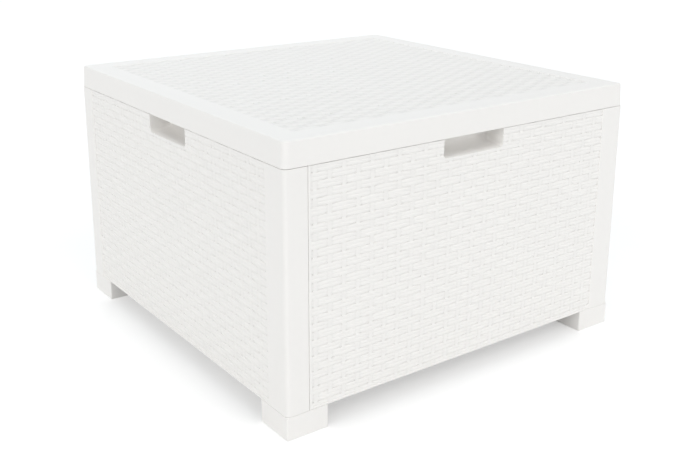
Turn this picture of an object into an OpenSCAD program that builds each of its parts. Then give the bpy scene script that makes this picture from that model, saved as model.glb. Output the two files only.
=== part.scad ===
// Square patio storage table in white moulded plastic.
// Four identical walls stand in a pinwheel, each carrying one rounded corner post,
// on four block feet. A ribbed floor lies on the walls' bottom flanges, bow-tie keys
// lock the walls at the top, and a capped lid lifts straight off.
// Millimetres, +Z up, origin on the ground under the middle of the table.
// The front faces -Y.

/* [Overall] */
// Width and depth over the lid's skirt
table_width = 780; // [640:1:900]
// Height from the ground to the table top
table_height = 500; // [420:1:560]

/* [Lid] */
// Height of the lid's skirt
skirt_height = 43; // [34:1:54]
// Thickness of the skirt
skirt_wall = 3.5; // [2.5:0.1:4.5]
// Thickness of the top plate
lid_plate = 4; // [3:0.1:6]
// Radius of the lid's upright corners in plan
lid_corner_r = 11.5; // [8:0.5:16]
// Radius of the lid's top edges
lid_edge_r = 5; // [2:0.1:5.5]
// Smooth border from the skirt's face to the woven field on top
lid_border = 49; // [30:1:70]
// Height of the ribs under the top plate
lid_rib_height = 9; // [3:0.5:14]
// Distance between the ribs under the top plate
lid_rib_pitch = 100; // [80:1:140]
// Distance from the edge of the woven field in to the outermost ribs
lid_rib_set_in = 41; // [6:1:60]

/* [Walls] */
// Distance that the walls stand back from the lid's skirt
wall_inset = 0.3; // [0.2:0.1:3]
// Thickness of the wall skin
wall_skin = 4; // [3:0.1:5]
// Radius of the upright corner posts
post_r = 8; // [6:0.1:12]
// Width of the smooth post from the corner to the seam
post_strip = 44; // [38:1:50]
// Open width of the upright seam beside each post
seam_gap = 0.6; // [0.4:0.1:1.5]
// Smooth margin between the seam and the woven field
field_margin = 5; // [3:0.5:10]
// Smooth width from the corner to the woven field on the wall's own post
post_border = 56; // [46:1:70]
// Smooth margin below the woven field
field_sill = 3; // [2:0.5:8]
// Depth by which the woven fields are sunk in the walls and lid
field_depth = 1.5; // [0.5:0.1:2]
// Corner radius of the woven fields
field_r = 4; // [2:0.5:8]
// Thickness of the ledge under the rim and of the bottom flange
shelf_plate = 4; // [3:0.1:6]
// Reach of the bottom flange inward from the skin
flange_reach = 26; // [22:0.5:30]
// Reach of the upright ribs inward from the skin
wall_rib_reach = 7; // [4:0.5:7.5]
// Distance between the upright ribs
wall_rib_pitch = 56; // [40:1:80]

/* [Grips] */
// Width of the grip opening at the top of each wall
grip_width = 139; // [110:1:160]
// Height of the grip opening below the lid joint
grip_height = 34.2; // [26:0.1:40]
// Depth of the grip cup from the wall's face
grip_depth = 44.7; // [30:0.1:50]
// Radius of the grip's lower corners
grip_r = 7; // [4:0.5:10]
// Thickness of the grip cup's sides, back and bottom
grip_skin = 3; // [2:0.1:4]

/* [Wall joints] */
// Length of the tongue that slides into the neighbouring post
tongue_reach = 29; // [20:0.5:30]
// Thickness of the tongue
tongue_plate = 4; // [3:0.1:4]
// Thickness of the fin that guides the tongue
fin_plate = 3; // [2:0.1:4]
// Length of the half of a bow-tie key that lies in one wall
key_reach = 12; // [9:0.5:14]
// Width of a bow-tie key at its ends
key_end_width = 8; // [6:0.5:9]
// Width of a bow-tie key at its waist
key_waist = 4; // [3:0.5:5]

/* [Floor] */
// Thickness of the floor plate
floor_plate = 4; // [3:0.1:6]
// Height of the ribs under the floor plate
floor_rib_height = 14; // [6:0.5:18]
// Distance between the ribs under the floor plate
floor_rib_pitch = 100; // [80:1:140]

/* [Feet] */
// Width of each foot along both faces of its corner
foot_width = 81; // [76:1:100]
// Height of the feet
foot_height = 42; // [32:1:60]
// Thickness of the feet's sides and soles
foot_wall = 3; // [2.5:0.1:4]
// Radius of the feet's upright edges
foot_r = 3; // [1:0.5:3.5]
// Length of the snap tabs on the feet
tab_length = 25; // [16:1:26]
// Thickness of the snap tabs
tab_plate = 6; // [4:0.5:7]
// Height that the snap tabs reach above the flange
tab_rise = 9; // [7:0.5:12]

/* [Fits] */
// Gap between pieces that rest or slide on each other
fit_gap = 0.3; // [0.2:0.05:0.4]
// Open joint between the skirt and the ledge of the walls
joint_gap = 0.8; // [0.6:0.1:3]
// Gap between the skirt and the walls' rim
skirt_gap = 1.5; // [1:0.1:2.5]

/* [Hidden] */
$fn = 64;

white_plastic = "#f4f3ef";
inner_plastic = "#e9e8e3";

// Plan: half widths measured from the middle of the table
half = table_width / 2;
wall_half = half - wall_inset;
skin_inner = wall_half - wall_skin;
seam_at = wall_half - post_strip;
seam_near = seam_at - seam_gap / 2;
seam_far = seam_at + seam_gap / 2;
rim_half = half - skirt_wall - skirt_gap;
rim_inner = rim_half - wall_skin;
rim_r = max(1, lid_corner_r - skirt_wall - skirt_gap);
flange_inner = skin_inner - flange_reach;
grip_back = wall_half - grip_depth;
share_depth = post_strip - seam_gap;

// Heights from the ground
rim_top = table_height - lid_plate - fit_gap;
skirt_bottom = table_height - skirt_height;
shelf_top = skirt_bottom - joint_gap;
shelf_bottom = shelf_top - shelf_plate;
wall_bottom = foot_height + fit_gap;
flange_top = wall_bottom + shelf_plate;
floor_bottom = flange_top + fit_gap;
floor_top = floor_bottom + floor_plate;
grip_bottom = shelf_top - grip_height;

// Woven fields
lid_field_half = half - lid_border;
field_left = -seam_near + field_margin;
field_right = wall_half - post_border;
field_bottom = wall_bottom + field_sill;

// Wall joints
tongue_outer = skin_inner - fit_gap;
tongue_inner = tongue_outer - tongue_plate;
fin_outer = tongue_inner - fit_gap;
fin_inner = fin_outer - fin_plate;
joggle = 8;
fin_end_gap = 4;
key_middle = rim_inner - key_end_width / 2 - 3;
key_boss_inner = key_middle - key_end_width / 2 - 3;
key_boss_reach = key_reach + 5;
key_slot_bottom = shelf_top;
key_clear = 0.25;

// Foot tabs, set just inside the ribs' line so that the floor clears them
tab_outer = min(fin_inner, skin_inner - wall_rib_reach) - fit_gap;
tab_inner = tab_outer - tab_plate;
tab_middle = (seam_near + wall_half - foot_width + foot_wall) / 2;
tab_top = flange_top + tab_rise;
tab_hook = 1.5;
tab_slot_gap = 0.3;
foot_inner = wall_half - foot_width;

// Floor
floor_half = tab_inner - tab_hook - 1.5;
floor_rib_half = foot_inner - 3;
floor_r = 6;

// Ribs
rib_plate = 2.5;
lid_rib_half = lid_field_half - lid_rib_set_in;

overlap = 1;

// A square of the given side with round corners, centred on the origin
module round_square(side, r) {
    square([side, side - 2 * r], center = true);
    square([side - 2 * r, side], center = true);
    for (x = [-1, 1], y = [-1, 1])
        translate([x * (side / 2 - r), y * (side / 2 - r)])
            circle(r = r);
}

// A square band: its outer half width, its thickness and its outer corner radius
module square_band(outer_half, thick, r) {
    difference() {
        round_square(2 * outer_half, r);
        round_square(2 * (outer_half - thick), max(0.5, r - thick));
    }
}

// A rectangle between two corners
module span(x0, y0, x1, y1) {
    translate([x0, y0])
        square([x1 - x0, y1 - y0]);
}

// A block between two corners
module block(x0, y0, z0, x1, y1, z1) {
    translate([x0, y0, z0])
        cube([x1 - x0, y1 - y0, z1 - z0]);
}

// A slab with upright corners of radius plan_r and top edges of radius edge_r
module capped_slab(outer_half, z0, z1, plan_r, edge_r) {
    intersection() {
        translate([0, 0, z0])
            linear_extrude(z1 - z0)
                round_square(2 * outer_half, plan_r);
        arch_bar(outer_half, z0, z1, edge_r);
        rotate([0, 0, 90])
            arch_bar(outer_half, z0, z1, edge_r);
    }
}

// A bar along Y whose two top edges are round
module arch_bar(outer_half, z0, z1, r) {
    rotate([90, 0, 0])
        linear_extrude(2 * (outer_half + overlap), center = true)
            arch_profile(outer_half, z0, z1, r);
}

// Upright section of a slab whose two top corners are round
module arch_profile(outer_half, z0, z1, r) {
    span(-outer_half, z0, outer_half, z1 - r);
    span(-outer_half + r, z0, outer_half - r, z1);
    for (x = [-1, 1])
        translate([x * (outer_half - r), z1 - r])
            circle(r = r);
}

// Crossed upright ribs between two heights, evenly placed about the middle
module rib_grid(reach, pitch, z0, z1) {
    count = floor((reach - rib_plate) / pitch);
    for (turn = [0, 90])
        rotate([0, 0, turn])
            for (i = [-count:count])
                block(i * pitch - rib_plate / 2, -reach, z0, i * pitch + rib_plate / 2, reach, z1);
    translate([0, 0, z0])
        linear_extrude(z1 - z0)
            square_band(reach, rib_plate, 1);
}

module lid() {
    color(white_plastic)
        difference() {
            union() {
                difference() {
                    capped_slab(half, skirt_bottom, table_height, lid_corner_r, lid_edge_r);
                    translate([0, 0, skirt_bottom - overlap])
                        linear_extrude(table_height - lid_plate - skirt_bottom + overlap)
                            round_square(2 * (half - skirt_wall), max(1, lid_corner_r - skirt_wall));
                }
                rib_grid(lid_rib_half, lid_rib_pitch, table_height - lid_plate - lid_rib_height,
                    table_height - lid_plate + overlap);
            }
            translate([0, 0, table_height - field_depth])
                linear_extrude(field_depth + overlap)
                    round_square(2 * lid_field_half, field_r);
        }
}

// The front wall's share of the square plan: its run from the seam to the right corner,
// and the return that wraps round that corner as the post
module front_share() {
    span(-seam_near, -wall_half, wall_half, -wall_half + share_depth);
    span(wall_half - share_depth, -wall_half, wall_half, -seam_far);
}

// One band of the front wall between two heights
module wall_band(z0, z1, outer_half, thick, r) {
    translate([0, 0, z0])
        linear_extrude(z1 - z0)
            intersection() {
                square_band(outer_half, thick, r);
                front_share();
            }
}

// Outline of the grip seen from the front: straight sides and round lower corners
module grip_outline(spread, top) {
    w = grip_width / 2 + spread;
    low = grip_bottom - spread;
    r = grip_r + spread;
    span(-w, low + r, w, top);
    span(-w + r, low, w - r, top);
    for (x = [-1, 1])
        translate([x * (w - r), low + r])
            circle(r = r);
}

// Pushes an outline drawn in X and Z back from the front, from y0 to y1
module from_front(y0, y1) {
    translate([0, y1, 0])
        rotate([90, 0, 0])
            linear_extrude(y1 - y0)
                children();
}

// Outline of the woven field on a wall
module wall_field() {
    r = field_r;
    span(field_left, field_bottom + r, field_right, shelf_top + overlap);
    span(field_left + r, field_bottom, field_right - r, shelf_top + overlap);
    for (x = [field_left + r, field_right - r])
        translate([x, field_bottom + r])
            circle(r = r);
}

// A bow-tie key in plan, its waist at the seam and its ends along X
module key_outline(spread) {
    x = key_reach + spread;
    end = key_end_width / 2 + spread;
    waist = key_waist / 2 + spread;
    polygon([[-x, -end], [0, -waist], [x, -end], [x, end], [0, waist], [-x, end]]);
}

// Puts its children at each seam of the front wall, +X into the wall and +Y outward
module at_each_seam() {
    translate([-seam_at, -key_middle, 0])
        mirror([0, 1, 0])
            children();
    translate([key_middle, -seam_at, 0])
        rotate([0, 0, -90])
            children();
}

// Bosses that hold the bow-tie keys, one at each seam of the wall
module key_bosses() {
    at_each_seam()
        block(seam_gap / 2, key_boss_inner - key_middle, shelf_bottom,
            key_boss_reach, rim_inner - key_middle + overlap, rim_top);
}

module key_slots() {
    at_each_seam()
        translate([0, 0, key_slot_bottom])
            linear_extrude(rim_top - key_slot_bottom + overlap)
                key_outline(key_clear);
}

// Tongue on the wall's left end, stepped in behind the neighbouring post's face
module tongue() {
    low = flange_top + fit_gap;
    high = shelf_bottom - fit_gap;
    block(-seam_at - tongue_reach, -tongue_outer, low, -seam_near + joggle, -tongue_inner, high);
    block(-seam_near, -wall_half + overlap, low, -seam_near + joggle, -tongue_inner, high);
}

// Fin behind the post's face that forms the slot for the next wall's tongue
module fin() {
    block(fin_inner, -skin_inner - overlap, wall_bottom,
        fin_outer, -seam_far - fin_end_gap, shelf_bottom);
}

// Upright stiffening ribs inside the wall
module wall_ribs() {
    count = floor((seam_near - joggle - rib_plate) / wall_rib_pitch);
    for (i = [-count:count])
        block(i * wall_rib_pitch - rib_plate / 2, -skin_inner - overlap, wall_bottom,
            i * wall_rib_pitch + rib_plate / 2, -skin_inner + wall_rib_reach,
            shelf_bottom + overlap);
}

// Slots in the bottom flange for the snap tabs of the two feet below
module tab_slots() {
    g = tab_slot_gap;
    for (x = [-tab_middle, tab_middle])
        block(x - tab_length / 2 - g, -tab_outer - g, wall_bottom - overlap,
            x + tab_length / 2 + g, -tab_inner + g, flange_top + overlap);
}

// One wall with its post and grip cup, drawn as the front wall
module wall_panel() {
    color(white_plastic)
        difference() {
            union() {
                wall_band(wall_bottom, shelf_top, wall_half, wall_skin, post_r);
                wall_band(shelf_bottom, shelf_top, wall_half, wall_half - rim_inner, post_r);
                wall_band(shelf_bottom, rim_top, rim_half, wall_skin, rim_r);
                wall_band(wall_bottom, flange_top, wall_half, wall_skin + flange_reach, post_r);
                tongue();
                fin();
                key_bosses();
                wall_ribs();
                from_front(-rim_half, -grip_back + grip_skin)
                    grip_outline(grip_skin, rim_top);
            }
            from_front(-wall_half - overlap, -wall_half + field_depth)
                wall_field();
            from_front(-wall_half - overlap, -grip_back)
                grip_outline(0, rim_top + overlap);
            key_slots();
            tab_slots();
        }
}

module wall_front() {
    wall_panel();
}

module wall_right() {
    rotate([0, 0, 90])
        wall_panel();
}

module wall_back() {
    rotate([0, 0, 180])
        wall_panel();
}

module wall_left() {
    rotate([0, 0, 270])
        wall_panel();
}

// Floor that lies loose on the walls' bottom flanges
module floor_panel() {
    color(inner_plastic) {
        translate([0, 0, floor_bottom])
            linear_extrude(floor_plate)
                round_square(2 * floor_half, floor_r);
        rib_grid(floor_rib_half, floor_rib_pitch, floor_bottom - floor_rib_height,
            floor_bottom + overlap);
    }
}

// Bow-tie key that locks the two walls at the front left seam
module corner_key() {
    color(inner_plastic)
        translate([-seam_at, -key_middle, key_slot_bottom + fit_gap])
            linear_extrude(rim_top - key_slot_bottom - 2 * fit_gap)
                key_outline(0);
}

module corner_key_front_left() {
    corner_key();
}

module corner_key_front_right() {
    rotate([0, 0, 90])
        corner_key();
}

module corner_key_back_right() {
    rotate([0, 0, 180])
        corner_key();
}

module corner_key_back_left() {
    rotate([0, 0, 270])
        corner_key();
}

// Snap tab that stands on a foot's sole and hooks over the front wall's flange
module snap_tab() {
    hook_low = flange_top + fit_gap;
    translate([-tab_middle - tab_length / 2, 0, 0])
        rotate([90, 0, 90])
            linear_extrude(tab_length)
                polygon([
                    [-tab_outer, foot_wall - overlap],
                    [-tab_inner, foot_wall - overlap],
                    [-tab_inner, hook_low],
                    [-tab_inner + tab_hook, hook_low],
                    [-tab_inner, tab_top],
                    [-tab_outer, tab_top]
                ]);
}

// The front left foot: a hollow block, open on top, with two snap tabs
module foot() {
    middle = wall_half - foot_width / 2;
    color(white_plastic) {
        difference() {
            translate([-middle, -middle, 0])
                linear_extrude(foot_height)
                    round_square(foot_width, foot_r);
            translate([-middle, -middle, foot_wall])
                linear_extrude(foot_height)
                    round_square(foot_width - 2 * foot_wall, max(0.5, foot_r - foot_wall));
        }
        block(-wall_half + foot_wall - overlap, -middle - rib_plate / 2, foot_wall - overlap,
            -foot_inner - foot_wall + overlap, -middle + rib_plate / 2, foot_height);
        block(-middle - rib_plate / 2, -wall_half + foot_wall - overlap, foot_wall - overlap,
            -middle + rib_plate / 2, -foot_inner - foot_wall + overlap, foot_height);
        snap_tab();
        mirror([1, -1, 0])
            snap_tab();
    }
}

module foot_front_left() {
    foot();
}

module foot_front_right() {
    rotate([0, 0, 90])
        foot();
}

module foot_back_right() {
    rotate([0, 0, 180])
        foot();
}

module foot_back_left() {
    rotate([0, 0, 270])
        foot();
}

lid();
wall_front();
wall_right();
wall_back();
wall_left();
floor_panel();
corner_key_front_left();
corner_key_front_right();
corner_key_back_right();
corner_key_back_left();
foot_front_left();
foot_front_right();
foot_back_right();
foot_back_left();
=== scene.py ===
import math

import bpy
import numpy as np
from mathutils import Matrix, Vector


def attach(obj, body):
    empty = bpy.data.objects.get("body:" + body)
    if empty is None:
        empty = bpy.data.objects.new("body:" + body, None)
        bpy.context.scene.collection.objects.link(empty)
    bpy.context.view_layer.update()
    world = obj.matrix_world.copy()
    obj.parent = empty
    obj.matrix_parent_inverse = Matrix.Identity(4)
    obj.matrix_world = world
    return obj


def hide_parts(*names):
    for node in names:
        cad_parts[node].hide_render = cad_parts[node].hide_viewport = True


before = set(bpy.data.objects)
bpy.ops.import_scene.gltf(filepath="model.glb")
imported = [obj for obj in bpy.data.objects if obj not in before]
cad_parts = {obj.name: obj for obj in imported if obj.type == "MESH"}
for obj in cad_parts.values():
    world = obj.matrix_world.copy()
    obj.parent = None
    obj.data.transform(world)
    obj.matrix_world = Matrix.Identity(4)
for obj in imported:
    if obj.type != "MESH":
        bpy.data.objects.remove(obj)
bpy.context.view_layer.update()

MM = 0.001

# All sizes are in mm. Driving sizes, as in the solids
TABLE_HALF = 390.0
TABLE_TOP = 500.0
PLATE = 4.0
FIT = 0.3

# How far a solid reaches into the one it joins, or past the one it cuts
OVERLAP = 1.0

# Steps that keep the faces of joined solids out of one plane, where they would tear
SINK = 0.5
HAIR = 0.1

# Lid
SKIRT_HEIGHT = 43.0
SKIRT_WALL = 3.5
SKIRT_GAP = 1.5
SKIRT_HEM = 0.7
SKIRT_DRAFT = 0.3
LID_CORNER = 11.5
LID_EDGE = 5.0
LID_DRAFT = 2.2
LID_BORDER = 49.0
LID_RIB_HEIGHT = 9.0
LID_RIB_PITCH = 100.0
LID_RIB_REACH = 300.0
LID_RIBS_BESIDE_MIDDLE = 2
RIB_HALF = 1.25
RIB_EDGE = 0.4

# Walls
LEDGE_GAP = 0.8
WALL_EDGE = 0.9
POST_ROUND = 8.0
POST_STRIP = 44.0
POST_BORDER = 56.0
SEAM_BORDER = 5.0
LOW_BORDER = 3.0
LEAST_ROUND = 0.6
RIM_ROUND = 6.5
FLANGE_REACH = 26.0
WALL_RIB_PITCH = 56.0
WALL_RIB_REACH = 7.0
WALL_RIBS_BESIDE_MIDDLE = 5

# Grips
GRIP_DEPTH = 44.7
GRIP_HEIGHT = 34.2
GRIP_HALF = 69.5
GRIP_ROUND = 7.0
GRIP_SKIN = 3.0
GRIP_CORNER = 5.0
GRIP_SILL = 2.5
GRIP_RINGS = 24
SCOOP_RUN = 24.0
SCOOP_RISE = 14.0
LIP_RUN = 15.0
LIP_DROP = 4.5
LIP_ARC = 0.96

# Joints at the seams: tongue, fin, and bow-tie keys in bosses
TONGUE_REACH = 29.0
TONGUE_ROOT = 8.0
FIN_PLATE = 3.0
FIN_EDGE = 0.5
KEY_MIDDLE = 374.0
KEY_REACH = 12.0
KEY_END = 4.0
KEY_WAIST = 2.0
KEY_GAP = 0.25
BOSS = (0.5, -7.0, 17.0, 8.0)
BOSS_ROUND = 0.8
JOINT_EDGE = 0.6

# Feet and their snap tabs
FOOT_WIDTH = 81.0
FOOT_TOP = 42.0
FOOT_ROUND = 3.0
FOOT_WALL = 3.0
FOOT_EDGE = 0.8
FOOT_HOLLOW_ROUND = 1.0
FOOT_RIB_EDGE = 0.3
SOLE_EDGE = 1.6
TAB_PLATE = 6.0
TAB_HALF = 12.5
TAB_EDGE = 0.4
TAB_FOOT = 2.0
TAB_RISE = 9.0
TAB_BARB = 1.5

# Places in plan, from the table's middle
WALL_HALF = TABLE_HALF - FIT
SKIN_INNER = WALL_HALF - PLATE
SEAM_AT = WALL_HALF - POST_STRIP
SEAM_NEAR = SEAM_AT - FIT
SEAM_FAR = SEAM_AT + FIT
RIM_HALF = TABLE_HALF - SKIRT_WALL - SKIRT_GAP
RIM_INNER = RIM_HALF - PLATE
FLANGE_INNER = SKIN_INNER - FLANGE_REACH
GRIP_BACK = WALL_HALF - GRIP_DEPTH
FOOT_INNER = WALL_HALF - FOOT_WIDTH
TONGUE_OUTER = SKIN_INNER - FIT
TONGUE_INNER = TONGUE_OUTER - PLATE
FIN_OUTER = TONGUE_INNER - FIT
FIN_INNER = FIN_OUTER - FIN_PLATE
TAB_OUTER = FIN_INNER - FIT
TAB_INNER = TAB_OUTER - TAB_PLATE
TAB_MIDDLE = (SEAM_NEAR + FOOT_INNER + FOOT_WALL) / 2

# Heights from the ground
LID_UNDERSIDE = TABLE_TOP - PLATE
LID_RIB_BOTTOM = LID_UNDERSIDE - LID_RIB_HEIGHT
SKIRT_BOTTOM = TABLE_TOP - SKIRT_HEIGHT
RIM_TOP = LID_UNDERSIDE - FIT
SHELF_TOP = SKIRT_BOTTOM - LEDGE_GAP
SHELF_BOTTOM = SHELF_TOP - PLATE
GRIP_BOTTOM = SHELF_TOP - GRIP_HEIGHT
GRIP_FLOOR = GRIP_BOTTOM + GRIP_SILL
WALL_BOTTOM = FOOT_TOP + FIT
FLANGE_TOP = WALL_BOTTOM + PLATE
TAB_SLOT_TOP = FLANGE_TOP + 1.7

# Woven fields: left, bottom and right on a wall, and half the side on the lid
WALL_FIELD = (SEAM_BORDER - SEAM_NEAR, WALL_BOTTOM + LOW_BORDER, WALL_HALF - POST_BORDER)
LID_FIELD = TABLE_HALF - LID_BORDER
FIELD_ROUND = 4.0
FIELD_DEPTH = 3.0
FIELD_EDGE = 0.7
SLAB_OVERLAP = 1.2
WEAVE_DROP = 0.4
WALL_SLAB = 3.6
LID_SLAB = 3.5

# The weave's repeat
STAKE_PITCH = 27.95
WALL_STAKE_AT = 2.5
LID_STAKE_AT = -0.5
BAND = 13.95
WALL_BAND_START = 443.5
LID_BAND_START = -4.475

# Depths of the weave: the strands' runs, the dives behind a stake, the grooves, the stakes
STRAND_REST = 0.65
STRAND_LIFT = 0.35
STRAND_DIVE = 1.0
DIVE_REACH = 10.0
STRAND_CROWN = 1.1
STRAND_ARC = 0.97
BAND_GROOVE = 0.7
POCKET = 1.2
POCKET_AT = 6.5
POCKET_REACH = 5.0
STAKE_REST = 1.0
STAKE_CROWN = 0.9
STAKE_ARC = 0.99
STAKE_HALF = 4.0
DEEPEST = 3.2

# Where the woven surface has its points: mm from a stake, and shares of a band
STAKE_STEPS = (-10.0, -6.6, -4.5, -3.9, -2.4, 2.4, 3.9, 4.5, 6.6, 10.0)
BAND_STEPS = (0.0, 0.08, 0.25, 0.42, 0.5, 0.58, 0.75, 0.92)

# Looks
WHITE = (0.935, 0.922, 0.903)
# A lighter white for the grips' hollows and the inside of the lid: painted light against the
# shade there.
PAINTED_LIGHT_WHITE = (0.995, 0.978, 0.953)
INNER_WHITE = (0.87, 0.86, 0.845)
CLOUD_SCALE = 5.0
SPECK_SCALE = 90.0
GRAIN_SCALE = 900.0
STREAK_SCALE = 60.0
STREAKS = 1.5
ROUGHNESS_SWING = 0.16
GRAIN_HEIGHT = 0.05
GRAIN_STRENGTH = 0.25
CREASE_ANGLE = 35.0  # in degrees

# Studio
FLOOR_RADIUS = 14.0
FLOOR_GREY = 0.88
FLOOR_LIFT = 0.288
WORLD_LIGHT = 0.525
WARM = (1.0, 0.995, 0.985)
COOL = (0.8, 0.92, 1.0)
SUNS = (  # name, strength, direction that it shines from, spread in degrees, colour
    ("key_light", 0.24, (0.05, -1.0, 1.15), 25, WARM),
    ("front_light", 0.1, (-0.45, -1.0, 0.75), 45, WARM),
    ("low_light", 0.5, (0.45, -1.0, 0.3), 30, WARM),
    ("left_light", 0.8, (-1.0, -0.3, 0.47), 45, (1.0, 0.99, 0.97)),
    ("top_light", 0.42, (0.1, 0.2, 1.0), 60, COOL),
    ("back_light", 0.2, (0.4, 1.0, 0.6), 45, COOL),
)
CAMERA_AT = (-1.14953, -1.58324, 0.87056)
CAMERA_RIGHT = (0.804819, -0.593502, 0.004704)
CAMERA_FORWARD = (0.572376, 0.774026, -0.270683)
CAMERA_LENS = 50.827
CAMERA_SENSOR = 36.0
CAMERA_SHIFT = -0.1043
CAMERA_CLIP = (0.05, 60)


# Outlines: lists of (u, v) points, anticlockwise

def rounded(points, radii, steps=6):
    """An outline whose corners are arcs of the given radii."""
    out = []
    for i, radius in enumerate(radii):
        corner = Vector(points[i])
        if radius <= 0:
            out.append(tuple(corner))
            continue
        back = (Vector(points[i - 1]) - corner).normalized()
        ahead = (Vector(points[(i + 1) % len(points)]) - corner).normalized()
        half = back.angle(ahead) / 2
        centre = corner + (back + ahead).normalized() * (radius / math.sin(half))
        start = corner + back * (radius / math.tan(half)) - centre
        end = corner + ahead * (radius / math.tan(half)) - centre
        first = math.atan2(start.y, start.x)
        sweep = (math.atan2(end.y, end.x) - first + math.pi) % (2 * math.pi) - math.pi
        for k in range(steps + 1):
            angle = first + sweep * k / steps
            out.append((centre.x + radius * math.cos(angle), centre.y + radius * math.sin(angle)))
    return out


def rectangle(u0, v0, u1, v1, radius=0.0, steps=6):
    return rounded([(u0, v0), (u1, v0), (u1, v1), (u0, v1)], [radius] * 4, steps)


def square(half, radius, steps=6):
    return rectangle(-half, -half, half, half, radius, steps)


def moved_in(outline, distance):
    """The outline with every side moved inward by a distance."""
    points = np.array(outline, float)
    ahead = np.roll(points, -1, 0) - points
    ahead /= np.linalg.norm(ahead, axis=1)[:, None]
    inward = np.stack([-ahead[:, 1], ahead[:, 0]], 1)
    before = np.roll(inward, 1, 0)
    reach = (inward + before) / (1 + (inward * before).sum(1))[:, None]
    return points + reach * distance


# Levels along a prism: (height, distance that its outline moves in)

def round_end(height, radius, toward, steps=3):
    """A rounded end; toward is the direction of the prism's middle."""
    turns = [math.pi / 2 * k / steps for k in range(steps + 1)]
    return [(height + toward * radius * (1 - math.cos(a)), radius * (1 - math.sin(a)))
            for a in turns]


def flared_mouth(height, radius):
    """A cutter's upper mouth, which leaves a rounded lip round its cut."""
    lip = [(level, -distance) for level, distance in round_end(height, radius, -1)]
    return lip[::-1] + [(height + OVERLAP, -radius)]


def prism_levels(low, high, low_round=0.0, high_round=0.0, steps=3):
    first = round_end(low, low_round, 1, steps) if low_round else [(low, 0.0)]
    last = round_end(high, high_round, -1, steps) if high_round else [(high, 0.0)]
    return first + last[::-1]


# Ways to stand an outline: in plan, on the front wall with its height pointing outward,
# and with its height along X
PLAN = Matrix.Identity(3)
FRONT = Matrix(((1, 0, 0), (0, 0, -1), (0, 1, 0)))
ALONG_X = Matrix(((0, 0, 1), (1, 0, 0), (0, 1, 0)))

# Places in a mesh's list of materials
SMOOTH, WOVEN, SHELTERED = 0, 1, 2


def mesh_object(name, points, faces, finish=SMOOTH, stand=PLAN):
    """A mesh object from points in mm in the outline's own directions."""
    turned = np.array(points, float) @ np.array(stand).T * MM
    mesh = bpy.data.meshes.new(name)
    mesh.from_pydata([tuple(p) for p in turned], [], faces)
    for material in ("smooth_plastic", "woven_plastic", "painted_light_plastic"):
        mesh.materials.append(finishes[material])
    mesh.polygons.foreach_set("material_index", [finish] * len(mesh.polygons))
    mesh.update()
    made = bpy.data.objects.new(name, mesh)
    bpy.context.scene.collection.objects.link(made)
    return made


def loft(rings, stand=PLAN, finish=SMOOTH):
    """A closed solid through rings given as (height, outline), all with as many points."""
    count = len(rings[0][1])
    points = [(u, v, height) for height, outline in rings for u, v in outline]
    faces = []
    for level in range(len(rings) - 1):
        at = level * count
        for i in range(count):
            j = (i + 1) % count
            faces.append((at + i, at + j, at + count + j, at + count + i))
    faces.append(tuple(range(count))[::-1])
    faces.append(tuple(range((len(rings) - 1) * count, len(rings) * count)))
    return mesh_object("part", points, faces, finish, stand)


def prism(outline, levels, stand=PLAN, finish=SMOOTH):
    """A closed solid through the outline moved in as each level says."""
    rings = [(height, moved_in(outline, distance) if distance else np.array(outline, float))
             for height, distance in levels]
    return loft(rings, stand, finish)


def block(low, high, edge=0.0):
    """A box from corner to corner, with rounded edges where asked.

    Its upright corners are a little rounder, so that moved_in leaves them whole.
    """
    levels = prism_levels(low[2], high[2], edge, edge, 2)
    return prism(rectangle(low[0], low[1], high[0], high[1], 1.1 * edge, 2), levels)


def evaluated(piece):
    """The object's mesh with its modifiers applied."""
    graph = bpy.context.evaluated_depsgraph_get()
    mesh = bpy.data.meshes.new_from_object(piece.evaluated_get(graph), depsgraph=graph)
    piece.modifiers.clear()
    return mesh


def combine(base, tool, operation, solver="MANIFOLD"):
    """Joins a tool solid to the base or cuts it away, and uses the tool up."""
    step = base.modifiers.new("step", "BOOLEAN")
    step.operation = operation
    step.solver = solver
    step.object = tool
    base.data = evaluated(base)
    bpy.data.objects.remove(tool)
    return base


def join(base, *tools):
    for tool in tools:
        combine(base, tool, "UNION")
    return base


def cut(base, *tools):
    for tool in tools:
        combine(base, tool, "DIFFERENCE")
    return base


# The weave: bands of two flat strands run along u, over and under the stakes along v

def weave_depth(u, v, stake_at, band_start):
    """Depth of the woven surface below the border's face, zero or less."""
    band = np.floor((v - band_start) / BAND)
    across = (v - band_start) / BAND - band
    stake = np.round((u - stake_at) / STAKE_PITCH)
    from_stake = np.abs(u - stake_at - stake * STAKE_PITCH)
    behind = (band + stake) % 2 < 0.5
    dive = np.cos(math.pi / 2 * np.clip(from_stake / DIVE_REACH, 0, 1)) ** 2
    lift = np.cos(math.pi * from_stake / STAKE_PITCH) ** 2
    run = np.where(behind, -STRAND_REST - STRAND_DIVE * dive, STRAND_LIFT * lift - STRAND_REST)
    strand = np.abs(4 * across % 2 - 1)
    from_middle = np.abs(2 * across - 1)
    crown = STRAND_CROWN * (1 - np.sqrt(1 - (STRAND_ARC * strand) ** 2))
    crown = crown + BAND_GROOVE * from_middle ** 8
    beside = np.cos(math.pi / 2 * np.clip((from_stake - POCKET_AT) / POCKET_REACH, -1, 1)) ** 2
    crown = crown + np.where(behind, POCKET * beside * from_middle ** 3, 0.0)
    side = np.clip(from_stake / STAKE_HALF, 0, 1)
    upright = -STAKE_REST - STAKE_CROWN * (1 - np.sqrt(1 - (STAKE_ARC * side) ** 2))
    depth = np.maximum(run - crown, np.where(behind & (side < 1), upright, -2 * DEEPEST))
    return np.maximum(depth, -DEEPEST)


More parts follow.
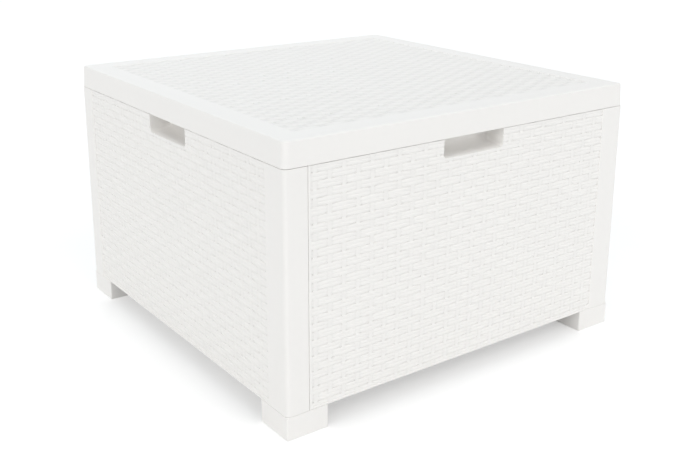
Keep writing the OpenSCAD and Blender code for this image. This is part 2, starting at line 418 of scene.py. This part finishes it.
def lattice(low, high, pitch, start, steps, least=0.2):
    """Grid values between low and high that follow the weave's repeat."""
    first = math.floor((low - start) / pitch) - 1
    last = math.ceil((high - start) / pitch) + 1
    values = [start + n * pitch + s for n in range(first, last) for s in steps]
    inside = [value for value in values if low + least < value < high - least]
    return np.array([low] + inside + [high])


def woven_slab(low, high, stake_at, band_start, face, thick, stand):
    """A closed slab with a woven face, between two corners given as (u, v)."""
    across = [step * BAND for step in BAND_STEPS]
    u = lattice(low[0], high[0], STAKE_PITCH, stake_at, STAKE_STEPS)
    v = lattice(low[1], high[1], BAND, band_start, across)
    grid_u, grid_v = np.meshgrid(u, v)
    grid_w = face + weave_depth(grid_u, grid_v, stake_at, band_start)
    rows, columns = grid_u.shape
    top = np.stack([grid_u, grid_v, grid_w], -1).reshape(-1, 3)
    at = np.arange(rows * columns).reshape(rows, columns)
    squares = np.stack([at[:-1, :-1], at[:-1, 1:], at[1:, 1:], at[1:, :-1]], -1)
    faces = [tuple(corners) for corners in squares.reshape(-1, 4).tolist()]
    rim = at[0, :-1].tolist() + at[:-1, -1].tolist()
    rim += at[-1, :0:-1].tolist() + at[:0:-1, 0].tolist()
    count = len(rim)
    under = top[rim].copy()
    under[:, 2] = face - thick
    start = len(top)
    for i in range(count):
        j = (i + 1) % count
        faces.append((start + i, start + j, rim[j], rim[i]))
    faces.append(tuple(range(start, start + count))[::-1])
    return mesh_object("weave", np.concatenate([top, under]), faces, WOVEN, stand)


# Materials

def make_group(name, inputs, outputs):
    """An empty shader group with named sockets, and its two end nodes."""
    tree = bpy.data.node_groups.new(name, "ShaderNodeTree")
    for label, kind, value in inputs:
        socket = tree.interface.new_socket(label, in_out="INPUT", socket_type=kind)
        socket.default_value = value
    for label, kind in outputs:
        tree.interface.new_socket(label, in_out="OUTPUT", socket_type=kind)
    return tree, tree.nodes.new("NodeGroupInput"), tree.nodes.new("NodeGroupOutput")


def node(tree, kind, links=(), **settings):
    """A node with its settings, and links given as (socket name or number, source)."""
    made = tree.nodes.new(kind)
    for key, value in settings.items():
        if key.startswith("in_"):
            made.inputs[key[3:].replace("_", " ")].default_value = value
        else:
            setattr(made, key, value)
    for socket, source in links:
        tree.links.new(source, made.inputs[socket])
    return made


def arithmetic(tree, operation, first, second):
    """A math node's result for a source and another source or a number."""
    made = node(tree, "ShaderNodeMath", [(0, first)], operation=operation)
    if isinstance(second, (int, float)):
        made.inputs[1].default_value = second
    else:
        tree.links.new(second, made.inputs[1])
    return made.outputs[0]


def plastic_tone_group():
    """Colour and roughness of moulded plastic: faint flow marks, and painted shade where Hollow
    is high.
    """
    tree, given, result = make_group(
        "plastic tone",
        [("Colour", "NodeSocketColor", (0.9, 0.9, 0.88, 1)),
         ("Painted Shade Colour", "NodeSocketColor", (0.75, 0.74, 0.7, 1)),
         ("Hollow", "NodeSocketFloat", 0.0),
         ("Variation", "NodeSocketFloat", 0.02),
         ("Roughness", "NodeSocketFloat", 0.42)],
        [("Colour", "NodeSocketColor"), ("Roughness", "NodeSocketFloat")])
    place = node(tree, "ShaderNodeTexCoord").outputs["Object"]
    clouds = node(tree, "ShaderNodeTexNoise", [("Vector", place)],
                  in_Scale=CLOUD_SCALE, in_Detail=3.0)
    specks = node(tree, "ShaderNodeTexNoise", [("Vector", place)],
                  in_Scale=SPECK_SCALE, in_Detail=4.0)
    both = arithmetic(tree, "ADD", clouds.outputs["Fac"], specks.outputs["Fac"])
    centred = arithmetic(tree, "SUBTRACT", both, 1.0)
    swing = arithmetic(tree, "MULTIPLY", centred, given.outputs["Variation"])
    level = arithmetic(tree, "ADD", swing, 1.0)
    tinted = node(tree, "ShaderNodeVectorMath",
                  [(0, given.outputs["Colour"]), ("Scale", level)], operation="SCALE")
    # Painted shade: the colour is mixed towards the darker shade colour in the weave's hollows.
    painted_hollows = node(tree, "ShaderNodeMix",
                 [("Factor", given.outputs["Hollow"])], data_type="RGBA")
    tree.links.new(tinted.outputs[0], painted_hollows.inputs[6])
    tree.links.new(given.outputs["Painted Shade Colour"], painted_hollows.inputs[7])
    tree.links.new(painted_hollows.outputs[2], result.inputs["Colour"])
    rough_swing = arithmetic(tree, "MULTIPLY", centred, ROUGHNESS_SWING)
    rough = arithmetic(tree, "ADD", rough_swing, given.outputs["Roughness"])
    tree.links.new(rough, result.inputs["Roughness"])
    return tree


def plastic_grain_group():
    """Height of the mould's fine grain, drawn out along a direction where asked."""
    tree, given, result = make_group(
        "plastic grain",
        [("Stretch", "NodeSocketVector", (1, 1, 1)),
         ("Fine", "NodeSocketFloat", 1.0),
         ("Streaks", "NodeSocketFloat", 0.0)],
        [("Height", "NodeSocketFloat")])
    place = node(tree, "ShaderNodeTexCoord").outputs["Object"]
    fine = node(tree, "ShaderNodeTexNoise", [("Vector", place)],
                in_Scale=GRAIN_SCALE, in_Detail=3.0)
    drawn = node(tree, "ShaderNodeVectorMath", [(0, place), (1, given.outputs["Stretch"])],
                 operation="MULTIPLY")
    streaks = node(tree, "ShaderNodeTexNoise", [("Vector", drawn.outputs[0])],
                   in_Scale=STREAK_SCALE, in_Detail=5.0)
    fine_part = arithmetic(tree, "MULTIPLY", fine.outputs["Fac"], given.outputs["Fine"])
    streak_part = arithmetic(tree, "MULTIPLY", streaks.outputs["Fac"], given.outputs["Streaks"])
    height = arithmetic(tree, "ADD", fine_part, streak_part)
    tree.links.new(height, result.inputs["Height"])
    return tree


def weave_hollow_group():
    """How deep a point of the weave lies, from 0 on the strands to 1 in the gaps; it masks the
    painted shade.
    """
    tree, given, result = make_group(
        "weave hollow",
        [("Face", "NodeSocketFloat", WALL_HALF * MM), ("On Lid", "NodeSocketFloat", 0.0),
         ("Shallow", "NodeSocketFloat", 1.0 * MM), ("Deep", "NodeSocketFloat", 2.9 * MM)],
        [("Hollow", "NodeSocketFloat")])
    place = node(tree, "ShaderNodeTexCoord").outputs["Object"]
    size = node(tree, "ShaderNodeVectorMath", [(0, place)], operation="ABSOLUTE")
    parts = node(tree, "ShaderNodeSeparateXYZ", [(0, size.outputs[0])])
    wide = arithmetic(tree, "MAXIMUM", parts.outputs["X"], parts.outputs["Y"])
    chosen = node(tree, "ShaderNodeMix", [("Factor", given.outputs["On Lid"])],
                  data_type="FLOAT")
    tree.links.new(wide, chosen.inputs[2])
    tree.links.new(parts.outputs["Z"], chosen.inputs[3])
    depth = arithmetic(tree, "SUBTRACT", given.outputs["Face"], chosen.outputs[0])
    hollow = node(tree, "ShaderNodeMapRange",
                  [("Value", depth), ("From Min", given.outputs["Shallow"]),
                   ("From Max", given.outputs["Deep"])])
    tree.links.new(hollow.outputs["Result"], result.inputs["Hollow"])
    return tree


def plastic(name, colour, roughness, stretch=None, face=None, painted_hollows=(1.0, 2.9), painted_shade=0.1):
    """Moulded plastic; a stretch direction and a face height make it woven.

    Painted shade darkens the weave's hollows between the two given depths, by the given share.
    """
    material = bpy.data.materials.new(name)
    material.use_nodes = True
    tree = material.node_tree
    shader = tree.nodes["Principled BSDF"]
    shader.inputs["IOR"].default_value = 1.49
    shader.inputs["Specular IOR Level"].default_value = 0.36
    tone = node(tree, "ShaderNodeGroup", node_tree=groups["tone"])
    tone.inputs["Colour"].default_value = (*colour, 1)
    # The shade colour is the plastic darkened by the share: painted shade for the weave's
    # hollows.
    tone.inputs["Painted Shade Colour"].default_value = (*(c * (1 - painted_shade) for c in colour), 1)
    tone.inputs["Roughness"].default_value = roughness
    tree.links.new(tone.outputs["Colour"], shader.inputs["Base Color"])
    tree.links.new(tone.outputs["Roughness"], shader.inputs["Roughness"])
    grain = node(tree, "ShaderNodeGroup", node_tree=groups["grain"])
    if stretch:
        grain.inputs["Stretch"].default_value = stretch
        grain.inputs["Streaks"].default_value = STREAKS
        hollow = node(tree, "ShaderNodeGroup", node_tree=groups["hollow"])
        hollow.inputs["Face"].default_value = face * MM
        hollow.inputs["On Lid"].default_value = float(face == TABLE_TOP)
        hollow.inputs["Shallow"].default_value = painted_hollows[0] * MM
        hollow.inputs["Deep"].default_value = painted_hollows[1] * MM
        tree.links.new(hollow.outputs["Hollow"], tone.inputs["Hollow"])
    bump = node(tree, "ShaderNodeBump", [("Height", grain.outputs["Height"])],
                in_Strength=GRAIN_STRENGTH, in_Distance=GRAIN_HEIGHT * MM)
    tree.links.new(bump.outputs["Normal"], shader.inputs["Normal"])
    return material


groups = {"tone": plastic_tone_group(), "grain": plastic_grain_group(),
          "hollow": weave_hollow_group()}
finishes = {
    "smooth_plastic": plastic("smooth_plastic", WHITE, 0.46),
    # The woven finishes carry painted shade in their hollows, a little more on the lid.
    "woven_plastic": plastic("woven_plastic", WHITE, 0.45, (0.06, 0.06, 1.0), WALL_HALF),
    "woven_lid_plastic": plastic("woven_lid_plastic", WHITE, 0.45, (0.06, 1.0, 1.0),
                                 TABLE_TOP, painted_hollows=(0.5, 1.8), painted_shade=0.115),
    # Lighter plastic inside the grips and the lid's skirt: painted light.
    "painted_light_plastic": plastic("painted_light_plastic", PAINTED_LIGHT_WHITE, 0.5),
    "inner_plastic": plastic("inner_plastic", INNER_WHITE, 0.5),
}


# One wall, drawn as the front wall: skin and post, ledge, rim, flange, grip cup, joints

def wall_strip(outer, inner, outer_round):
    """Plan of the wall's share of a square band, from the seam round the corner."""
    inner_round = max(LEAST_ROUND, outer_round - (outer - inner))
    points = [(-SEAM_NEAR, -outer), (outer, -outer), (outer, -SEAM_FAR),
              (inner, -SEAM_FAR), (inner, -inner), (-SEAM_NEAR, -inner)]
    seam_round, end_round = 1.6 * WALL_EDGE, 1.1 * WALL_EDGE
    radii = [seam_round, outer_round, seam_round, end_round, inner_round, end_round]
    return rounded(points, radii, 8)


def round_bottomed(left, bottom, right, top, radius, steps):
    """A rectangle whose two lower corners are rounded."""
    points = [(left, bottom), (right, bottom), (right, top), (left, top)]
    return rounded(points, [radius, radius, 0, 0], steps)


def grip_outline(spread, top):
    """The grip's opening on the wall, widened by a spread."""
    half = GRIP_HALF + spread
    return round_bottomed(-half, GRIP_BOTTOM - spread, half, top, GRIP_ROUND + spread, 8)


def quarter_arc(share):
    """Height of a quarter circle of radius 1 at a share of its run from its foot."""
    return 1 - math.sqrt(1 - share ** 2)


def grip_hollow():
    """The grip's hollow: its floor sweeps up to the back and rolls over at the lip."""
    rings = []
    for step in range(GRIP_RINGS + 1):
        from_back = (WALL_HALF + OVERLAP - GRIP_BACK) * (step / GRIP_RINGS) ** 1.5
        height = GRIP_BACK + from_back
        rise = SCOOP_RISE * quarter_arc(max(0.0, 1 - from_back / SCOOP_RUN))
        roll = min(1.0, max(0.0, (height - WALL_HALF + LIP_RUN) / LIP_RUN))
        rise -= LIP_DROP * (1 - math.sqrt(1 - LIP_ARC * roll ** 2))
        half = GRIP_HALF - GRIP_CORNER * quarter_arc(max(0.0, 1 - from_back / GRIP_CORNER))
        outline = round_bottomed(-half, GRIP_FLOOR + rise, half, RIM_TOP + 2 * OVERLAP,
                                 GRIP_ROUND, 8)
        rings.append((height, outline))
    return loft(rings, FRONT, SHELTERED)


def key_outline(spread):
    """The bow-tie key in plan, widened by a spread."""
    reach, end, waist = KEY_REACH + spread, KEY_END + spread, KEY_WAIST + spread
    return [(-reach, -end), (0, -waist), (reach, -end), (reach, end), (0, waist), (-reach, end)]


def at_left_seam(outline):
    """An outline drawn about a key's middle, moved to the wall's left seam."""
    return [(x - SEAM_AT, -y - KEY_MIDDLE) for x, y in outline][::-1]


def at_right_seam(outline):
    """An outline drawn about a key's middle, moved to the seam round the corner."""
    return [(KEY_MIDDLE + y, -x - SEAM_AT) for x, y in outline][::-1]


def wall_bands():
    """The skin and, joined to it, the ledge, the rim and the bottom flange."""
    skin = prism(wall_strip(WALL_HALF, SKIN_INNER, POST_ROUND),
                 prism_levels(WALL_BOTTOM + PLATE / 2, SHELF_TOP - PLATE / 2))
    ledge = prism(wall_strip(WALL_HALF, RIM_INNER, POST_ROUND),
                  prism_levels(SHELF_BOTTOM, SHELF_TOP, 0, WALL_EDGE))
    rim = prism(wall_strip(RIM_HALF, RIM_INNER, RIM_ROUND),
                prism_levels(SHELF_BOTTOM + SINK, RIM_TOP, 0, WALL_EDGE))
    flange = prism(wall_strip(WALL_HALF, FLANGE_INNER, POST_ROUND),
                   prism_levels(WALL_BOTTOM, FLANGE_TOP, WALL_EDGE, 0))
    return [skin, ledge, rim, flange]


def seam_joints():
    """The tongue behind the next wall's skin, and the fin behind the other wall's tongue."""
    far_end, root = -SEAM_AT - TONGUE_REACH, -SEAM_NEAR + TONGUE_ROOT
    face = OVERLAP - WALL_HALF
    tongue = prism([(-SEAM_NEAR, face), (root, face), (root, -TONGUE_INNER),
                    (far_end, -TONGUE_INNER), (far_end, -TONGUE_OUTER),
                    (-SEAM_NEAR, -TONGUE_OUTER)],
                   prism_levels(FLANGE_TOP + FIT, SHELF_BOTTOM - FIT, JOINT_EDGE, JOINT_EDGE))
    fin = block((FIN_INNER, -SKIN_INNER - OVERLAP, WALL_BOTTOM + OVERLAP),
                (FIN_OUTER, -SEAM_FAR - PLATE, SHELF_BOTTOM + OVERLAP), FIN_EDGE)
    return [tongue, fin]


def key_bosses():
    """At both seams a boss on the ledge, with this wall's half of a key's slot."""
    bosses = []
    for place in (at_left_seam, at_right_seam):
        boss = prism(place(rectangle(*BOSS, BOSS_ROUND, 2)),
                     prism_levels(SHELF_BOTTOM - OVERLAP, RIM_TOP - FIT / 2, 0, JOINT_EDGE))
        slot = prism(place(key_outline(KEY_GAP)), prism_levels(SHELF_TOP, RIM_TOP + OVERLAP))
        bosses.append(combine(boss, slot, "DIFFERENCE", "EXACT"))
    return bosses


def wall_ribs():
    """Upright ribs on the inside of the skin."""
    places = range(-WALL_RIBS_BESIDE_MIDDLE, WALL_RIBS_BESIDE_MIDDLE + 1)
    return [block((WALL_RIB_PITCH * i - RIB_HALF, -SKIN_INNER - OVERLAP, WALL_BOTTOM + OVERLAP),
                  (WALL_RIB_PITCH * i + RIB_HALF, WALL_RIB_REACH - SKIN_INNER,
                   SHELF_BOTTOM + OVERLAP), RIB_EDGE) for i in places]


def grip_shell():
    """The grip's cup, and a collar that closes the gap behind the cup's lip."""
    cup = prism(grip_outline(GRIP_SKIN, RIM_TOP - HAIR),
                prism_levels(GRIP_BACK - GRIP_SKIN, RIM_HALF - SINK, GRIP_SKIN, 0), FRONT)
    collar = prism(grip_outline(GRIP_SKIN - 2 * HAIR, SHELF_TOP - OVERLAP),
                   prism_levels(RIM_INNER - OVERLAP, WALL_HALF - FIELD_DEPTH - FIT), FRONT)
    return [cup, collar]


def make_wall():
    """The front wall, with its woven field, its grip and the slots for the feet's tabs."""
    skin, *bands = wall_bands()
    wall = join(skin, *bands, *seam_joints(), *grip_shell(), *key_bosses(), *wall_ribs())
    left, bottom, right = WALL_FIELD
    field = prism(round_bottomed(left, bottom, right, SHELF_TOP + 3 * OVERLAP, FIELD_ROUND, 6),
                  [(WALL_HALF - FIELD_DEPTH, 0.0)] + flared_mouth(WALL_HALF, FIELD_EDGE), FRONT)
    cut(wall, field)
    weave = woven_slab((left - SLAB_OVERLAP, bottom - SLAB_OVERLAP),
                       (right + SLAB_OVERLAP, SHELF_TOP - WEAVE_DROP),
                       WALL_STAKE_AT, WALL_BAND_START, WALL_HALF, WALL_SLAB, FRONT)
    join(wall, weave)
    tab_slots = [block((x - TAB_HALF - FIT, -TAB_OUTER - FIT, FOOT_TOP - 2 * OVERLAP),
                       (x + TAB_HALF + FIT, -TAB_INNER + FIT, TAB_SLOT_TOP))
                 for x in (-TAB_MIDDLE, TAB_MIDDLE)]
    return cut(wall, grip_hollow(), *tab_slots)


def lid_ribs():
    """Crossed ribs under the top plate, and a square frame of ribs round their ends."""
    low, high = LID_RIB_BOTTOM, LID_UNDERSIDE + OVERLAP
    end = LID_RIB_REACH - OVERLAP
    ribs = []
    for i in range(-LID_RIBS_BESIDE_MIDDLE, LID_RIBS_BESIDE_MIDDLE + 1):
        near, far = LID_RIB_PITCH * i - RIB_HALF, LID_RIB_PITCH * i + RIB_HALF
        ribs.append(block((near, -end, low), (far, end, high), RIB_EDGE))
        ribs.append(block((-end, near, low), (end, far, high), RIB_EDGE))
    reach, inner = LID_RIB_REACH, LID_RIB_REACH - 2 * RIB_HALF
    for near, far in ((-reach, -inner), (inner, reach)):
        ribs.append(block((near, -reach, low), (far, reach, high), RIB_EDGE))
        ribs.append(block((-reach, near, low), (reach, far, high), RIB_EDGE))
    return ribs


def make_lid():
    """The lid: top plate with a woven field, drafted skirt, and ribs underneath."""
    top_edge = [(height, distance + LID_DRAFT) for height, distance
                in round_end(TABLE_TOP, LID_EDGE - LID_DRAFT, -1, 5)]
    levels = round_end(SKIRT_BOTTOM, SKIRT_HEM, 1)
    levels += [(TABLE_TOP - LID_EDGE - OVERLAP, LID_DRAFT)] + top_edge[::-1]
    lid = prism(square(TABLE_HALF, LID_CORNER, 8), levels)
    cut(lid, prism(square(TABLE_HALF - SKIRT_WALL, LID_CORNER - SKIRT_WALL),
                   [(SKIRT_BOTTOM - OVERLAP, -SKIRT_DRAFT), (LID_UNDERSIDE, 0.0)],
                   PLAN, SHELTERED))
    join(lid, *lid_ribs())
    cut(lid, prism(square(LID_FIELD, FIELD_ROUND),
                   [(TABLE_TOP - FIELD_DEPTH, 0.0)] + flared_mouth(TABLE_TOP, FIELD_EDGE)))
    reach = LID_FIELD + SLAB_OVERLAP
    join(lid, woven_slab((-reach, -reach), (reach, reach), LID_STAKE_AT, LID_BAND_START,
                         TABLE_TOP, LID_SLAB, PLAN))
    lid.data.materials[WOVEN] = finishes["woven_lid_plastic"]
    return lid


def make_foot():
    """The front left foot: a hollow block with crossed ribs and two snap tabs."""
    near, far = -WALL_HALF, -FOOT_INNER
    foot = prism(rectangle(near, near, far, far, FOOT_ROUND),
                 prism_levels(0, FOOT_TOP, SOLE_EDGE, FOOT_EDGE))
    cut(foot, prism(rectangle(near + FOOT_WALL, near + FOOT_WALL,
                              far - FOOT_WALL, far - FOOT_WALL, FOOT_HOLLOW_ROUND, 2),
                    prism_levels(FOOT_WALL, FOOT_TOP + 2 * OVERLAP, FOOT_EDGE, 0)))
    start, end = near + FOOT_WALL - OVERLAP, far - FOOT_WALL + OVERLAP
    low, high = FOOT_WALL - OVERLAP, FOOT_TOP - 2 * HAIR
    side, other_side = (near + far) / 2 - RIB_HALF, (near + far) / 2 + RIB_HALF
    join(foot, block((start, side, low), (end, other_side, high), FOOT_RIB_EDGE),
         block((side, start, low), (other_side, end, high), FOOT_RIB_EDGE))
    under_barb, tip = FLANGE_TOP + FIT, FLANGE_TOP + TAB_RISE
    outline = [(-TAB_OUTER, TAB_FOOT), (-TAB_INNER, TAB_FOOT), (-TAB_INNER, under_barb),
               (TAB_BARB - TAB_INNER, under_barb), (-TAB_INNER, tip), (-TAB_OUTER, tip)]
    first, last = TAB_MIDDLE - TAB_HALF, TAB_MIDDLE + TAB_HALF
    return join(foot, prism(outline, prism_levels(-last, -first, TAB_EDGE, TAB_EDGE), ALONG_X),
                prism(outline, prism_levels(first, last, TAB_EDGE, TAB_EDGE), FRONT))


def finish_mesh(piece):
    """Smooth shading with crisp creases, and flat faces kept flat."""
    mesh = piece.data
    mesh.polygons.foreach_set("use_smooth", [True] * len(mesh.polygons))
    mesh.set_sharp_from_angle(angle=math.radians(CREASE_ANGLE))
    mesh.update()
    flat = piece.modifiers.new("flat", "WEIGHTED_NORMAL")
    flat.mode = "FACE_AREA"
    flat.keep_sharp = True
    piece.data = evaluated(piece)


def place_copy(source, name, body, quarter):
    """A copy turned by quarter turns about the table's middle, standing for a CAD node."""
    mesh = source.data.copy()
    mesh.transform(Matrix.Rotation(quarter * math.pi / 2, 4, "Z"))
    piece = bpy.data.objects.new(f"moulded_{name}", mesh)
    bpy.context.scene.collection.objects.link(piece)
    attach(piece, body)
    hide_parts(name)


def place_pieces(pattern, names, body):
    """Copies of a pattern, each a quarter turn further round; the pattern then goes."""
    finish_mesh(pattern)
    for quarter, name in enumerate(names):
        place_copy(pattern, name, body, quarter)
    bpy.data.objects.remove(pattern)


place_pieces(make_wall(), ("wall_front", "wall_right", "wall_back", "wall_left"), "box")
place_pieces(make_foot(), ("foot_front_left", "foot_front_right",
                           "foot_back_right", "foot_back_left"), "box")
place_pieces(make_lid(), ("lid",), "lid")

for name, node_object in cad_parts.items():
    if name.startswith(("floor_panel", "corner_key")):
        node_object.data.materials.clear()
        node_object.data.materials.append(finishes["inner_plastic"])


# Floor, light and camera

def background_rays(tree):
    """1 for the rays that see the plain background: camera, mirror and see-through ones."""
    rays = node(tree, "ShaderNodeLightPath").outputs
    indirect = arithmetic(tree, "MAXIMUM", rays["Is Glossy Ray"], rays["Is Transmission Ray"])
    return arithmetic(tree, "MAXIMUM", rays["Is Camera Ray"], indirect)


def make_floor():
    """A pale floor that keeps the table's shadow."""
    bpy.ops.mesh.primitive_circle_add(vertices=64, radius=FLOOR_RADIUS, fill_type="NGON")
    floor = bpy.context.object
    floor.name = "studio_floor"
    material = bpy.data.materials.new("studio_floor")
    material.use_nodes = True
    tree = material.node_tree
    tree.nodes.clear()
    paint = node(tree, "ShaderNodeBsdfDiffuse", in_Color=(FLOOR_GREY,) * 3 + (1,))
    lift = arithmetic(tree, "MULTIPLY", background_rays(tree), FLOOR_LIFT)
    glow = node(tree, "ShaderNodeEmission", [("Strength", lift)])
    both = node(tree, "ShaderNodeAddShader", [(0, paint.outputs[0]), (1, glow.outputs[0])])
    node(tree, "ShaderNodeOutputMaterial", [("Surface", both.outputs[0])])
    floor.data.materials.append(material)


def make_world():
    """Even light from all round, behind a background that is seen as plain white."""
    world = bpy.data.worlds.new("studio")
    bpy.context.scene.world = world
    world.use_nodes = True
    tree = world.node_tree
    tree.nodes.clear()
    light = node(tree, "ShaderNodeBackground", in_Color=(1, 1, 1, 1), in_Strength=WORLD_LIGHT)
    white = node(tree, "ShaderNodeBackground", in_Color=(1, 1, 1, 1), in_Strength=1.0)
    mix = node(tree, "ShaderNodeMixShader",
               [("Fac", background_rays(tree)), (1, light.outputs[0]), (2, white.outputs[0])])
    node(tree, "ShaderNodeOutputWorld", [("Surface", mix.outputs[0])])


def make_sun(name, strength, toward, spread, colour):
    """A soft sun that shines from the given direction."""
    light = bpy.data.lights.new(name, "SUN")
    light.energy = strength
    light.angle = math.radians(spread)
    light.color = colour
    lamp = bpy.data.objects.new(name, light)
    lamp.rotation_mode = "QUATERNION"
    lamp.rotation_quaternion = Vector(toward).to_track_quat("Z", "Y")
    bpy.context.scene.collection.objects.link(lamp)


def make_camera():
    """The camera at the photograph's place and angle."""
    data = bpy.data.cameras.new("studio_camera")
    data.sensor_width = CAMERA_SENSOR
    data.lens = CAMERA_LENS
    data.shift_y = CAMERA_SHIFT
    data.clip_start, data.clip_end = CAMERA_CLIP
    camera = bpy.data.objects.new("studio_camera", data)
    right = Vector(CAMERA_RIGHT).normalized()
    forward = Vector(CAMERA_FORWARD).normalized()
    up = right.cross(forward).normalized()
    turn = Matrix((right, up, -forward)).transposed()
    camera.matrix_world = Matrix.Translation(CAMERA_AT) @ turn.to_4x4()
    bpy.context.scene.collection.objects.link(camera)
    bpy.context.scene.camera = camera


make_floor()
make_world()
for sun in SUNS:
    make_sun(*sun)
make_camera()
bpy.context.scene.view_settings.view_transform = "Standard"
